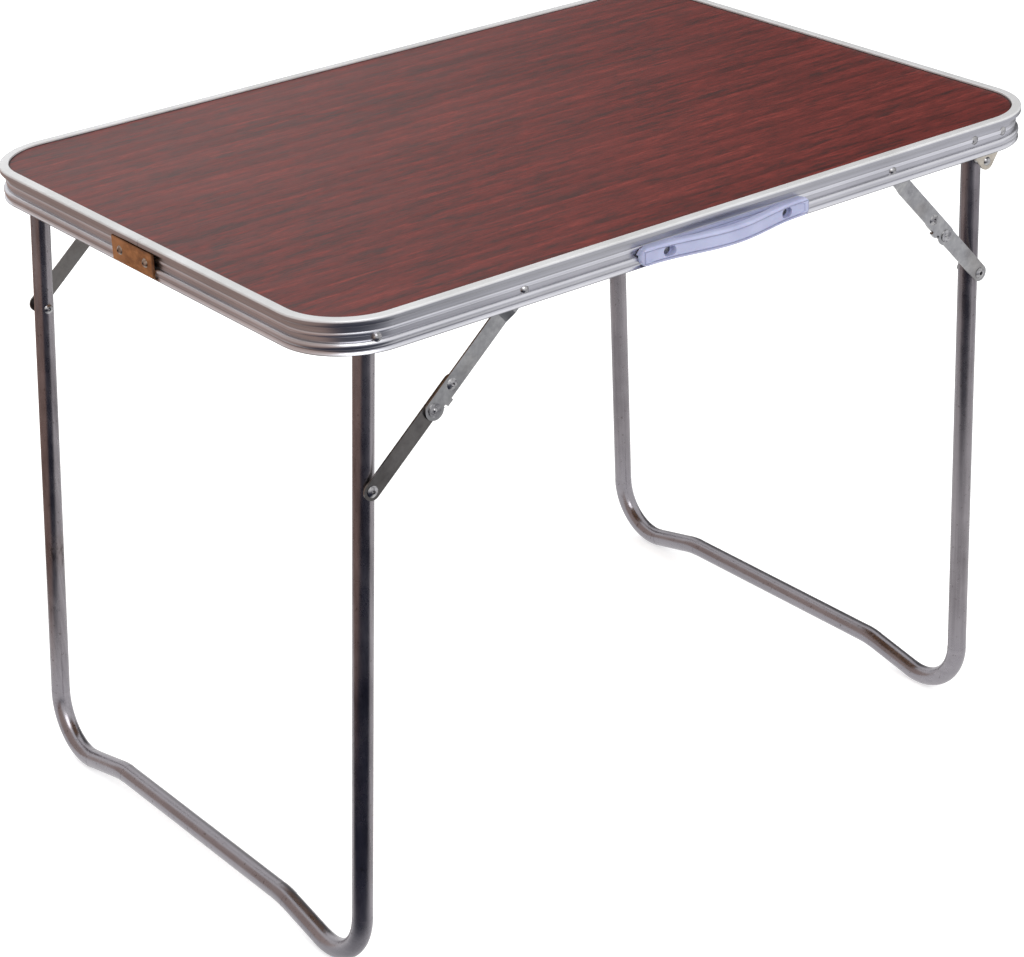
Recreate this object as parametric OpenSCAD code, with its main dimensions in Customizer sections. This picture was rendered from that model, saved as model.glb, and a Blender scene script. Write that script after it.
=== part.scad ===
// Folding camping table: a printed board in a bent aluminium rim, on two U-shaped
// tube frames that fold inward, each held open by a pair of two-link stays.
// Lengths are in millimetres. The left frame folds first, inside the rim, and the
// right frame hangs lower on two ear brackets and folds over it.
// X runs along the table, the handle is on the front (-Y) and Z is up from the floor.

/* [Table top] */
// Length over the rim
top_len = 700; // [600:10:1000]
// Width over the rim
top_wid = 500; // [400:10:700]
// Height of the rim's top above the floor
table_h = 532; // [450:1:600]
// Outer radius of the rim's corners
corner_r = 58; // [40:1:80]
// Thickness of the board
board_t = 3.5; // [2.5:0.5:5]
// Free play of the board in its groove
board_fit = 0.2; // [0.1:0.1:0.4]

/* [Rim profile] */
// Height of the rim
rim_h = 27; // [26:0.5:32]
// Width of the lip that frames the board
lip_w = 13; // [9:0.5:16]
// Height of the lip's outer side
lip_side = 5.8; // [5.6:0.1:7]
// Thickness of the lip over the board
lip_t = 1.5; // [1:0.1:2]
// Radius along the lip's outer top edge
lip_round = 2; // [1:0.5:3]
// Distance of the side wall behind the lip's face
wall_recess = 4.4; // [4:0.1:5.5]
// Thickness of the side wall
wall_t = 1.2; // [1:0.1:1.6]
// Height of the hollow bead along the bottom
bead_h = 10.2; // [9:0.1:10.2]
// How far the bead stands out from the wall
bead_out = 2.8; // [2.2:0.1:3.2]
// How far the fine rib stands out from the wall
rib_out = 0.6; // [0.3:0.1:1]
// Distance of the fine rib below the top
rib_drop = 13.2; // [12.5:0.1:14]
// Width of the flange that carries the board
flange_w = 7.4; // [5:0.1:12]
// Gap between the rim's two ends
seam_gap = 0.4; // [0.2:0.1:1]
// Place of that seam along the left side, from its middle
seam_y = -5; // [-60:1:60]

/* [Joint plate] */
// Length of the plate over the seam
plate_len = 58; // [40:1:90]
// Height of the plate
plate_h = 19; // [18:0.5:19.5]
// Thickness of the plate
plate_t = 1.5; // [1:0.1:1.6]
// Distance between the plate's two rivets
plate_pitch = 36; // [26:1:60]
// Place of the plate's middle, from the middle of the side
plate_y = 5; // [-20:1:20]

/* [Leg tubes] */
// Outer diameter of the leg tube
tube_d = 16; // [14:0.5:17]
// Wall of the leg tube
tube_wall = 1.2; // [0.8:0.1:2]
// Bend radius at each foot
bend_r = 45; // [32:1:60]
// Angle at which the cross bar rises from each foot
kick_deg = 12; // [8:1:18]
// Height of the bar's middle above its feet
kick_rise = 12; // [8:1:18]
// Radius of the bend back to level
kick_r = 60; // [40:1:90]
// Radius of the rounded upper end of a leg, about its pivot
tube_end_r = 8.6; // [8.6:0.1:9.2]

/* [Left frame] */
// Distance of the left pivot from the rim's left end
left_inset = 45; // [42:1:90]
// Distance of the left pivot below the rim's top
left_drop = 16; // [15.5:0.5:16.5]
// Outward lean of the left frame in degrees
left_splay = 4.5; // [0:0.5:6]
// Gap between the rim's wall and the left tube
left_gap = 7.9; // [7.7:0.1:9]

/* [Right frame] */
// Distance of the right pivot from the rim's right end
right_inset = 66; // [50:1:90]
// Distance of the right pivot below the rim's top
right_drop = 34; // [34:0.5:40]
// Outward lean of the right frame in degrees
right_splay = 0; // [0:0.5:4]
// Gap between the rim's wall and the right tube
right_gap = 9.9; // [9:0.1:14]

/* [Stays] */
// Width of the stay links
stay_w = 14; // [12:0.5:15]
// Thickness of the stay links
stay_t = 1.5; // [1.2:0.1:1.6]
// Distance of the stays' upper pivots from the ends of the rim
stay_inset = 171; // [165:1:185]
// Distance of those pivots below the rim's top
stay_drop = 16; // [15.5:0.5:16.5]
// Distance of the left stay's lower pivot down the leg
left_stay_low = 116; // [110:1:125]
// Distance of the right stay's lower pivot down the leg
right_stay_low = 96; // [92:1:100]
// How much longer the right stay's lower link is than its upper one
right_link_more = 8; // [7:0.1:11]
// Sideways step of the upper link below the rim
joggle = 2.3; // [2:0.1:2.4]
// Distance of that step from the upper pivot
joggle_at = 16; // [14:1:22]
// Length of that step
joggle_len = 9; // [6:1:14]
// Distance of the stop lug beyond the knee
lug_at = 7.5; // [7.5:0.5:8.5]
// Length of the stop lug
lug_len = 6; // [4:0.5:6.5]
// Gap between the stop lug and the edge of the lower link
lug_gap = 0.5; // [0.3:0.1:1]
// Width of the notch beside the stop lug
lug_notch = 2.2; // [1.5:0.1:3]
// Distance of the catch stud beyond the knee
catch_at = 22; // [19.5:0.5:24]
// Sideways offset of the catch stud, towards the stop lug
catch_shift = 1; // [0:0.1:1.5]
// Radius of the upper link's end round the catch stud
catch_end_r = 8; // [7:0.5:8.5]

/* [Ear brackets] */
// Thickness of the bracket plate
ear_t = 1.5; // [1:0.1:2]
// Distance between the two bracket rivets
ear_pitch = 32; // [26:1:40]
// Distance of the rivets below the rim's top
ear_rivet_drop = 12.5; // [11.5:0.1:14]
// Radius of the bracket's lower end
ear_tip_r = 7; // [6:0.5:10]
// Margin of the plate round its rivets
ear_margin = 4.5; // [4:0.1:5.5]

/* [Fasteners] */
// Diameter of the pivot bolts and stay rivets
pin_d = 5; // [4:0.5:6]
// Running clearance of a hole round its pin, on the diameter
pin_fit = 0.1; // [0.05:0.05:0.2]
// Diameter of the heads on the rim's side
head_d = 7.2; // [6.6:0.1:8]
// Height of those heads
head_h = 2; // [1.2:0.1:2.4]
// Diameter of the knee and leg rivets' heads
rivet_head_d = 9; // [8:0.1:10]
// Height of those heads
rivet_head_h = 1.4; // [1:0.1:1.4]
// Diameter of the hollow in a tubular rivet's head
rivet_hollow_d = 3.2; // [2:0.1:3.5]
// Depth of that hollow
hollow_depth = 3; // [2.5:0.5:4]
// Diameter of the rivets' closed heads on the inner side
tail_head_d = 8; // [7:0.1:9]
// Diameter of the catch stud's flat head
stud_head_d = 10.4; // [8:0.1:11]
// Height of that head
stud_head_h = 0.8; // [0.6:0.1:1.2]
// Diameter of the small rivets and the handle screws
small_d = 4; // [3:0.5:4.5]
// Outer diameter of the spacer sleeves
sleeve_d = 9; // [8:0.5:9]
// Thickness of the nuts
nut_h = 3.5; // [3:0.5:4.5]
// Width across the flats of the nuts
nut_af = 8; // [7:0.5:9]
// How far a bolt or screw stands out of its nut
thread_out = 0.5; // [0.2:0.1:1.5]

/* [Handle] */
// Length of the handle
handle_len = 164; // [150:1:180]
// Height of the handle
handle_h = 14; // [13:0.1:14.5]
// Distance of the handle's top below the rim's top
handle_drop = 11; // [10:0.1:11.5]
// Depth of the handle's ends from the rib to the front
handle_depth = 8; // [7:0.1:10]
// How far the grip bows out in the middle
handle_bow = 10; // [9:0.5:16]
// Length of the bowed part
bow_len = 145; // [130:1:146]
// Thickness of the strip along the wall behind the grip
strip_t = 2.4; // [2:0.1:3]
// Place of the handle's middle along the front
handle_x = 4; // [-20:1:20]
// Distance between the handle's two screws
screw_pitch = 114; // [110:1:136]
// Height of the screws above the handle's middle
screw_rise = 0.5; // [0:0.1:0.8]
// Radius of the handle's rounded edges
handle_round = 2.2; // [1:0.1:3]
// Radius of the handle's rounded ends
handle_end_r = 6; // [4.5:0.5:6.5]
// Radius of the front corners at those ends, seen from above
handle_plan_r = 4; // [2:0.5:4.5]
// Width of the raised rim round the handle's front
panel_rim = 2.6; // [2:0.1:4]
// Depth of the sunk panel inside that rim
panel_depth = 0.5; // [0.3:0.1:1]
// Distance of the screws' seats in front of the rim's rib
screw_floor = 4; // [3:0.1:5]
// Length of the flat part of each oblong screw pocket
pocket_flat = 3; // [1:0.5:5]

/* [Hidden] */
$fn = 48;

// Gap left between pieces that move past each other
slide_gap = 0.3;
// Gap left where a piece lies against the wall, which curves at the corners
curve_gap = 0.1;
// Extra length of a cutting tool beyond the piece it cuts
cut = 1;
// How far a straight stretch of tube reaches into a bend, and how much thinner it is
bend_lap = 0.8;
bend_step = 0.2;
// How much wider a seat or pocket is than the head in it
seat_play = 0.6;
// Gap between the lip and what is fixed below it
lip_gap = 0.5;
// Depth to which a cut follows the wall round a corner
corner_depth = corner_r / 4;
// The bead's rounded edges take this share of its height each
bead_curl = 0.32;
// The fine rib's half height at its foot and at its tip
rib_foot = 1.4;
rib_tip = 0.7;
// Bevel along the lip's lower edge
lip_bevel = 0.6;
// Web left between a hollow and the wall's face
hollow_web = 0.2;
// Number of stations along the handle's grip
bow_steps = 30;

tube_r = tube_d / 2;
pin_hole_d = pin_d + pin_fit;
small_hole_d = small_d + pin_fit;
wall_out_y = top_wid / 2 - wall_recess;
wall_in_y = wall_out_y - wall_t;
rib_y = wall_out_y + rib_out;
bead_y = wall_out_y + bead_out;
board_top = table_h - lip_t;
groove_low = board_top - board_t - board_fit;
bead_top = rim_h - bead_h;

left_x = -top_len / 2 + left_inset;
right_x = top_len / 2 - right_inset;
left_z = table_h - left_drop;
right_z = table_h - right_drop;
left_leg_y = wall_in_y - left_gap - tube_r;
right_leg_y = wall_in_y - right_gap - tube_r;
stay_x = top_len / 2 - stay_inset;
stay_z = table_h - stay_drop;
// The left stay's links differ by what lets them fold flat behind its upper pivot
left_link_more = stay_inset - left_inset - left_stay_low;

// Planes of the stay links, measured outward from the middle of the table
top_link_y = wall_in_y - slide_gap - stay_t;
upper_link_y = top_link_y - joggle;
lower_link_y = upper_link_y - slide_gap - stay_t;

// The handle and the joint plate's rivets each reach past one side of the rim, so the
// whole object moves half that far to stand centred over the origin
handle_reach = rib_y + handle_depth + handle_bow - top_wid / 2;
rivet_reach = plate_t + head_h + bead_out - wall_recess;
origin_x = max(0, rivet_reach) / 2;
origin_y = max(0, handle_reach) / 2;
handle_top = table_h - handle_drop;
handle_mid_z = handle_top - handle_h / 2;
screw_z = handle_mid_z + screw_rise;

function polar(r, a) = [r * cos(a), r * sin(a)];

// A rod along Y, from y0 to y1
module y_rod(d, y0, y1, x = 0, z = 0) {
    translate([x, y0, z]) rotate([-90, 0, 0]) cylinder(d = d, h = y1 - y0);
}

// A shallow dome that stands up from the XY plane
module dome(d, h) {
    ball_r = (d * d / 4 + h * h) / (2 * h);
    intersection() {
        translate([0, 0, h - ball_r]) sphere(r = ball_r, $fn = 96);
        cylinder(d = d, h = h);
    }
}

// A dome whose flat side lies at y and whose crown points outward, or inward
module y_dome(d, h, y, x = 0, z = 0, inward = false) {
    translate([x, y, z]) rotate([inward ? 90 : -90, 0, 0]) dome(d, h);
}

// What is drawn for the back side is mirrored for the front side
module side(front) {
    mirror([0, front ? 1 : 0, 0]) children();
}

module both_sides() {
    side(false) children();
    side(true) children();
}

// Table top

// The rim's section: distance behind the lip's face, and depth below the top
function rim_outline() = concat(
    [for (a = [0 : 30 : 90]) [lip_round, -lip_round] - lip_round * [cos(a), -sin(a)]],
    [[lip_w, 0], [lip_w, -lip_t], [wall_recess + wall_t, -lip_t],
     [wall_recess + wall_t, -(table_h - groove_low)],
     [wall_recess + wall_t + flange_w, -(table_h - groove_low)],
     [wall_recess + wall_t + flange_w, -(table_h - groove_low) - wall_t],
     [wall_recess + wall_t, -(table_h - groove_low) - wall_t],
     [wall_recess + wall_t, -rim_h]],
    [for (a = [90 : -22.5 : 0])
        [wall_recess - bead_out * cos(a), -rim_h + bead_h * bead_curl * (1 - sin(a))]],
    [for (a = [0 : 22.5 : 90])
        [wall_recess - bead_out * (1 + cos(2 * a)) / 2,
         -bead_top - bead_h * bead_curl * (1 - a / 90)]],
    [[wall_recess, -rib_drop - rib_foot], [wall_recess - rib_out, -rib_drop - rib_tip],
     [wall_recess - rib_out, -rib_drop + rib_tip], [wall_recess, -rib_drop + rib_foot],
     [wall_recess, -lip_side], [lip_bevel, -lip_side], [0, -lip_side + lip_bevel]]);

// The hollow inside the bead
function bead_hollow() = let(back = wall_recess - hollow_web / 2, front = wall_recess - bead_out + wall_t)
    [[back, -bead_top - bead_h * bead_curl], [front, -bead_top - bead_h * bead_curl - wall_t],
     [front, -rim_h + bead_h * bead_curl], [back, -rim_h + wall_t]];

// The hollow inside the lip's outer edge
function lip_hollow() =
    let(back = wall_recess - hollow_web)
    [[lip_t, -lip_t], [back, -lip_t], [back, -lip_side + wall_t], [lip_t, -lip_side + wall_t]];

module rim_section() {
    translate([corner_r, 0]) mirror([1, 0]) difference() {
        polygon(rim_outline());
        polygon(bead_hollow());
        polygon(lip_hollow());
    }
}

// One side of the rim and the corner that ends it, for a rim centred on the origin
module rim_side(along, across) {
    reach = along / 2 - corner_r;
    translate([across / 2 - corner_r, reach, table_h]) {
        rotate([90, 0, 0]) linear_extrude(height = 2 * reach) rim_section();
        rotate_extrude(angle = 90, $fn = 96) rim_section();
    }
}

// The space inside the rim up to a surface that lies `recess` behind the lip's face
module rim_core(recess) {
    linear_extrude(height = table_h)
        rounded_rect(top_len - 2 * recess, top_wid - 2 * recess, corner_r - recess);
}

// Places children on the wall's outer face at x, with +Y straight out of the wall
module on_wall(x, z) {
    over = max(0, abs(x) - (top_len / 2 - corner_r));
    r = corner_r - wall_recess;
    translate([x - sign(x) * over, top_wid / 2 - corner_r, z])
        rotate([0, 0, -sign(x) * asin(over / r)]) translate([0, r, 0]) children();
}

// A head's seat on the wall, cut through the rib and the bead's shoulder, with its hole
module head_seat(hole_d) {
    y_rod(head_d + seat_play, curve_gap, bead_out + cut);
    y_rod(hole_d, -wall_t - cut, cut);
}

module rim_frame() {
    color("gainsboro") difference() {
        union() {
            for (half = [0, 180]) rotate([0, 0, half]) {
                rim_side(top_wid, top_len);
                rotate([0, 0, 90]) rim_side(top_len, top_wid);
            }
        }
        translate([-top_len / 2 - cut, seam_y - seam_gap / 2, table_h - rim_h - cut])
            cube([lip_w + 2 * flange_w, seam_gap, rim_h + 2 * cut]);
        both_sides() {
            y_rod(pin_hole_d, wall_in_y - corner_depth, wall_out_y + cut, left_x, left_z);
            difference() {
                y_rod(head_d + seat_play, wall_in_y - corner_depth, bead_y + cut, left_x, left_z);
                rim_core(wall_recess);
            }
            for (x = [-stay_x, stay_x]) on_wall(x, stay_z) head_seat(pin_hole_d);
            for (x = ear_rivet_xs()) on_wall(x, table_h - ear_rivet_drop) head_seat(small_hole_d);
        }
        for (x = screw_xs())
            y_rod(small_hole_d, -bead_y - cut, -wall_in_y + cut, x, screw_z);
        for (y = plate_rivet_ys())
            translate([-top_len / 2 + wall_recess - cut, y, plate_mid_z()])
                rotate([0, 90, 0]) cylinder(d = small_hole_d, h = wall_t + 2 * cut);
    }
}

module rounded_rect(len, wid, r) {
    square([len - 2 * r, wid], center = true);
    square([len, wid - 2 * r], center = true);
    for (x = [-1, 1], y = [-1, 1])
        translate([x * (len / 2 - r), y * (wid / 2 - r)]) circle(r = r, $fn = 96);
}

module table_board() {
    inset = wall_recess + wall_t + slide_gap;
    color([0.35, 0.13, 0.11]) translate([0, 0, groove_low])
        linear_extrude(height = board_t)
            rounded_rect(top_len - 2 * inset, top_wid - 2 * inset, corner_r - inset);
}

function plate_mid_z() = table_h - lip_side - lip_gap - plate_h / 2;
function plate_rivet_ys() = [plate_y - plate_pitch / 2, plate_y + plate_pitch / 2];

module joint_plate() {
    face_x = -top_len / 2 + wall_recess - bead_out;
    color([0.53, 0.35, 0.24]) difference() {
        translate([face_x - plate_t, plate_y - plate_len / 2, plate_mid_z() - plate_h / 2])
            cube([plate_t, plate_len, plate_h]);
        for (y = plate_rivet_ys())
            translate([face_x - plate_t - cut, y, plate_mid_z()])
                rotate([0, 90, 0]) cylinder(d = small_hole_d, h = plate_t + 2 * cut);
    }
}

module joint_plate_rivets() {
    outer_x = -top_len / 2 + wall_recess - bead_out - plate_t;
    inner_x = -top_len / 2 + wall_recess + wall_t;
    color("silver") for (y = plate_rivet_ys()) translate([0, y, plate_mid_z()]) {
        translate([outer_x, 0, 0]) rotate([0, -90, 0]) dome(head_d, head_h);
        translate([outer_x, 0, 0]) rotate([0, 90, 0])
            cylinder(d = small_d, h = inner_x - outer_x);
        translate([inner_x, 0, 0]) rotate([0, 90, 0]) dome(head_d, rivet_head_h);
    }
}

// Handle

function screw_xs() = [handle_x - screw_pitch / 2, handle_x + screw_pitch / 2];

// Depth of the grip's back from the rib, bowed out smoothly over the middle
function bow(x) = abs(x) < bow_len / 2 ? handle_bow * (1 + cos(360 * x / bow_len)) / 2 : 0;

// How much of a corner of radius r is missing at x, towards the handle's ends
function end_loss(x, r) = let(over = abs(x) - (handle_len / 2 - r))
    over > 0 ? r - sqrt(max(0, r * r - over * over)) : 0;

// Depth of the handle's front from the rib
function front_depth(x) = handle_depth + bow(x) - end_loss(x, handle_plan_r);

// A closed ring of points round the grip's section at x
function grip_ring(x) = let(back = bow(x), front = front_depth(x),
        half_h = handle_h / 2 - end_loss(x, handle_end_r),
        r = min(handle_round, (front - back) / 3, half_h / 2))
    [for (i = [0 : 15])
        let(quarter = floor(i / 4), a = quarter * 90 + (i % 4) * 30,
            y = quarter == 0 || quarter == 3 ? front - r : back + r,
            z = quarter < 2 ? half_h - r : r - half_h)
        [x, y + r * cos(a), z + r * sin(a)]];

module swept(rings) {
    n = len(rings[0]);
    last = len(rings) - 1;
    polyhedron(
        points = [for (ring = rings) for (p = ring) p],
        faces = concat(
            [[for (i = [0 : n - 1]) i]],
            [for (k = [0 : last - 1]) for (i = [0 : n - 1])
                [k * n + (i + 1) % n, k * n + i, (k + 1) * n + i, (k + 1) * n + (i + 1) % n]],
            [[for (i = [n - 1 : -1 : 0]) last * n + i]]));
}

// Stations along the handle, close together at the rounded ends
function handle_stations() = let(r = handle_end_r, flat = handle_len / 2 - r)
    concat([for (a = [10 : 16 : 90]) -flat - r * cos(a)],
        [for (i = [1 : bow_steps - 1]) flat * (2 * i / bow_steps - 1)],
        [for (a = [90 : -16 : 10]) flat + r * cos(a)]);

// Height of the bead's upper edge in the handle's own frame
function bead_top_in_handle() = table_h - bead_top + slide_gap - handle_mid_z;

// The sunk panel's sections: its height is drawn in round at both ends
module handle_panel() {
    reach = handle_len / 2 - handle_end_r;
    tall = handle_h / 2 - panel_rim;
    swept([for (i = [0 : bow_steps])
        let(x = reach * (2 * i / bow_steps - 1), front = front_depth(x),
            h = i % bow_steps == 0 ? tall * 2 / 3 : tall)
        [[x, front - panel_depth, -h], [x, front + cut, -h],
         [x, front + cut, h], [x, front - panel_depth, h]]]);
}

// Oblong pocket round one screw's head
module screw_pocket() {
    front = handle_depth + handle_bow + cut;
    for (shift = [-pocket_flat / 2, pocket_flat / 2])
        y_rod(head_d + seat_play, screw_floor, front, shift);
    translate([-pocket_flat / 2, screw_floor, -(head_d + seat_play) / 2])
        cube([pocket_flat, front - screw_floor, head_d + seat_play]);
}

module handle() {
    strip_len = handle_len - 2 * handle_end_r;
    color([0.73, 0.75, 0.87]) translate([handle_x, 0, handle_mid_z]) mirror([0, 1, 0])
        translate([0, rib_y, 0]) difference() {
            union() {
                swept([for (x = handle_stations()) grip_ring(x)]);
                translate([-strip_len / 2, 0, bead_top_in_handle()])
                    cube([strip_len, strip_t, handle_h / 2 - bead_top_in_handle()]);
            }
            handle_panel();
            // Room for the bead behind the lower part
            translate([-handle_len / 2 - cut, -cut, -handle_h / 2 - cut])
                cube([handle_len + 2 * cut, cut + bead_out - rib_out + slide_gap,
                    bead_top_in_handle() + handle_h / 2 + cut]);
            for (x = [-screw_pitch / 2, screw_pitch / 2]) translate([x, 0, screw_rise]) {
                y_rod(small_hole_d, -cut, screw_floor + cut);
                screw_pocket();
            }
        }
}

// A screw with a cross recess in its head
module handle_screws() {
    slot_w = 1;
    slot_deep = 1.2;
    color("dimgray") for (x = screw_xs()) mirror([0, 1, 0]) translate([x, 0, screw_z]) {
        difference() {
            y_dome(head_d, head_h, rib_y + screw_floor);
            for (turn = [45, 135]) rotate([0, turn, 0])
                translate([-slot_w / 2, rib_y + screw_floor + head_h - slot_deep, -head_d / 4])
                    cube([slot_w, head_h, head_d / 2]);
        }
        y_rod(small_d, wall_in_y - nut_h - thread_out, rib_y + screw_floor);
    }
}

module hex_nut(y0, x, z, hole_d) {
    translate([x, y0, z]) rotate([-90, 0, 0]) difference() {
        cylinder(d = nut_af / cos(30), h = nut_h, $fn = 6);
        translate([0, 0, -cut]) cylinder(d = hole_d, h = nut_h + 2 * cut);
    }
}

module handle_nuts() {
    color("silver") for (x = screw_xs()) mirror([0, 1, 0])
        hex_nut(wall_in_y - nut_h, x, screw_z, small_hole_d);
}

// Ear brackets

function ear_rivet_xs() = [right_x - ear_pitch / 2, right_x + ear_pitch / 2];

// Direction in which a line from p touches the circle of radius r round c
function touch_angle(p, c, r, turn) = let(v = p - c)
    atan2(v[1], v[0]) + turn * acos(r / norm(v));

module ear_plate() {
    tip = [right_x, right_z];
    half = ear_pitch / 2 + ear_margin;
    top = table_h - ear_rivet_drop + ear_margin;
    low = table_h - ear_rivet_drop - ear_margin;
    chamfer = 2;
    l = [right_x - half, low];
    r = [right_x + half, low];
    from = touch_angle(r, tip, ear_tip_r, -1);
    to = touch_angle(l, tip, ear_tip_r, 1) - 360;
    intersection() {
        difference() {
            rim_core(wall_recess + wall_t + curve_gap);
            rim_core(wall_recess + wall_t + curve_gap + ear_t);
        }
        translate([0, wall_out_y, 0]) rotate([90, 0, 0]) linear_extrude(height = corner_r / 2)
            difference() {
                polygon(concat(
                    [l, l + [0, 2 * ear_margin - chamfer], [l[0] + chamfer, top],
                     [r[0] - chamfer, top], r + [0, 2 * ear_margin - chamfer], r],
                    [for (i = [0 : 12]) tip + polar(ear_tip_r, from + (to - from) * i / 12)]));
                translate(tip) circle(d = pin_hole_d);
            }
    }
}

module ear_bracket() {
    difference() {
        ear_plate();
        for (x = ear_rivet_xs()) on_wall(x, table_h - ear_rivet_drop)
            y_rod(small_hole_d, -wall_t - ear_t - 2 * cut, 0);
    }
}

module front_ear_bracket() {
    color([0.62, 0.6, 0.55]) side(true) ear_bracket();
}

module back_ear_bracket() {
    color([0.62, 0.6, 0.55]) side(false) ear_bracket();
}

module ear_bracket_rivets() {
    inner = -wall_t - ear_t - 3 * curve_gap;
    color("silver") both_sides() for (x = ear_rivet_xs())
        on_wall(x, table_h - ear_rivet_drop) {
            y_dome(head_d, rivet_head_h, curve_gap);
            y_rod(small_d, inner, curve_gap);
            y_dome(head_d, rivet_head_h, inner, inward = true);
        }
}

// Leg pivots

// Bolt, sleeve and nut of one pivot: the head bears on seat_y, the nut sits inside the leg
module pivot_bolt(x, z, seat_y, leg_y) {
    y_dome(head_d, head_h, seat_y, x, z);
    y_rod(pin_d, leg_y - tube_r - slide_gap - nut_h - thread_out, seat_y, x, z);
}

module pivot_sleeve(x, z, seat_y, leg_y) {
    difference() {
        y_rod(sleeve_d, leg_y + tube_r + slide_gap, seat_y, x, z);
        y_rod(pin_hole_d, leg_y, seat_y + cut, x, z);
    }
}

// The left pivots lie where the wall starts to curve into the corner, so the head stands
// on a collar and the sleeve ends on a slant that both follow the wall
module left_pivot_bolts() {
    color("silver") both_sides() {
        pivot_bolt(left_x, left_z, wall_out_y, left_leg_y);
        difference() {
            y_rod(head_d, wall_in_y - corner_depth, wall_out_y, left_x, left_z);
            rim_core(wall_recess - curve_gap);
        }
    }
}

module left_pivot_spacers() {
    color("silver") both_sides() intersection() {
        pivot_sleeve(left_x, left_z, wall_in_y, left_leg_y);
        rim_core(wall_recess + wall_t + curve_gap);
    }
}

module left_pivot_nuts() {
    color("silver") both_sides()
        hex_nut(left_leg_y - tube_r - slide_gap - nut_h, left_x, left_z, pin_hole_d);
}

module right_pivot_bolts() {
    color("silver") both_sides()
        pivot_bolt(right_x, right_z, wall_in_y - curve_gap, right_leg_y);
}

module right_pivot_spacers() {
    color("silver") both_sides()
        pivot_sleeve(right_x, right_z, wall_in_y - curve_gap - ear_t, right_leg_y);
}

module right_pivot_nuts() {
    color("silver") both_sides()
        hex_nut(right_leg_y - tube_r - slide_gap - nut_h, right_x, right_z, pin_hole_d);
}

// Leg frames

// A straight stretch of a bar along +X, which ends a little inside the bends beside it
module straight(d, h, before = bend_lap, after = bend_lap) {
    translate([-before, 0, 0]) rotate([0, 90, 0])
        cylinder(d = d - bend_step, h = h + before + after);
    translate([h, 0, 0]) children();
}

// A bend to the left of a bar that comes along +X
module bend(d, r, angle) {
    translate([0, r, 0]) {
        rotate([0, 0, -90]) rotate_extrude(angle = angle, $fn = 96)
            translate([r, 0]) circle(d = d);
        rotate([0, 0, angle]) translate([0, -r, 0]) children();
    }
}

// A bar along one half of a frame: X across, Y up from the pivot, from the middle of the
// cross bar out to the leg and up to the pivot
module half_frame(d, leg_y, drop) {
    climb = (kick_rise - (bend_r + kick_r) * (1 - cos(kick_deg))) / sin(kick_deg);
    level = leg_y - bend_r - (bend_r + kick_r) * sin(kick_deg) - climb * cos(kick_deg);
    translate([0, kick_rise - drop, 0]) straight(d, level, before = 0)
        mirror([0, 1, 0]) bend(d, kick_r, kick_deg)
        mirror([0, 1, 0]) straight(d, climb)
        bend(d, bend_r, 90 + kick_deg)
        straight(d, drop - bend_r, after = 0) children();
}

// The upper end of a leg above its pivot, rounded about the pivot's axis
module leg_end(d, r) {
    intersection() {
        translate([-bend_lap, 0, 0]) rotate([0, 90, 0])
            cylinder(d = d - bend_step, h = r + bend_lap);
        translate([0, -tube_d, 0]) rotate([-90, 0, 0]) cylinder(r = r, h = 2 * tube_d);
    }
}

// A whole frame: bent tube with its pivot holes and the holes of the stays' lower rivets
module leg_frame(leg_y, drop, stay_low) {
    bore_d = tube_d - 2 * tube_wall;
    rotate([90, 0, 90]) difference() {
        for (hand = [0, 1]) mirror([hand, 0, 0])
            half_frame(tube_d, leg_y, drop) leg_end(tube_d, tube_end_r);
        for (hand = [0, 1]) mirror([hand, 0, 0]) {
            half_frame(bore_d, leg_y, drop) translate([-bend_lap, 0, 0]) rotate([0, 90, 0])
                cylinder(d = bore_d - bend_step, h = tube_end_r + 2 * cut);
            for (drop_to_hole = [0, stay_low])
                translate([leg_y - tube_d, -drop_to_hole, 0]) rotate([0, 90, 0])
                    cylinder(d = pin_hole_d, h = 2 * tube_d);
        }
    }
}

// Distance from a pivot at height z to the lowest point of the tube's middle line
function frame_drop(z, splay) = (z - tube_r) / cos(splay);

module in_left_frame() {
    translate([left_x, 0, left_z]) rotate([0, left_splay, 0]) children();
}

module in_right_frame() {
    translate([right_x, 0, right_z]) rotate([0, -right_splay, 0]) children();
}

module left_leg_frame() {
    color([0.45, 0.45, 0.48]) in_left_frame()
        leg_frame(left_leg_y, frame_drop(left_z, left_splay), left_stay_low);
}

module right_leg_frame() {
    color([0.45, 0.45, 0.48]) in_right_frame()
        leg_frame(right_leg_y, frame_drop(right_z, right_splay), right_stay_low);
}

// Tubular rivet through the leg and the lower link, with its washer or sleeve between them
module lower_rivet(leg_y, stay_low) {
    head_y = lower_link_y + stay_t + slide_gap;
    tail_y = leg_y - tube_r;
    translate([0, 0, -stay_low]) difference() {
        union() {
            y_rod(pin_d, tail_y, head_y);
            y_dome(rivet_head_d, rivet_head_h, head_y);
            y_dome(tail_head_d, rivet_head_h, tail_y, inward = true);
        }
        y_rod(rivet_hollow_d, head_y + rivet_head_h - hollow_depth, head_y + rivet_head_h + cut);
        y_rod(rivet_hollow_d, tail_y - rivet_head_h - cut, tail_y - rivet_head_h + hollow_depth);
    }
}

module lower_washer(leg_y, stay_low) {
    difference() {
        y_rod(sleeve_d, leg_y + tube_r, lower_link_y - slide_gap, 0, -stay_low);
        y_rod(pin_hole_d, leg_y, lower_link_y + cut, 0, -stay_low);
    }
}

module left_stay_lower_rivets() {
    color("silver") in_left_frame() both_sides() lower_rivet(left_leg_y, left_stay_low);
}

module left_stay_washers() {
    color("silver") in_left_frame() both_sides() lower_washer(left_leg_y, left_stay_low);
}

module right_stay_lower_rivets() {
    color("silver") in_right_frame() both_sides() lower_rivet(right_leg_y, right_stay_low);
}

module right_stay_spacers() {
    color("silver") in_right_frame() both_sides() lower_washer(right_leg_y, right_stay_low);
}

// Stays

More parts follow.
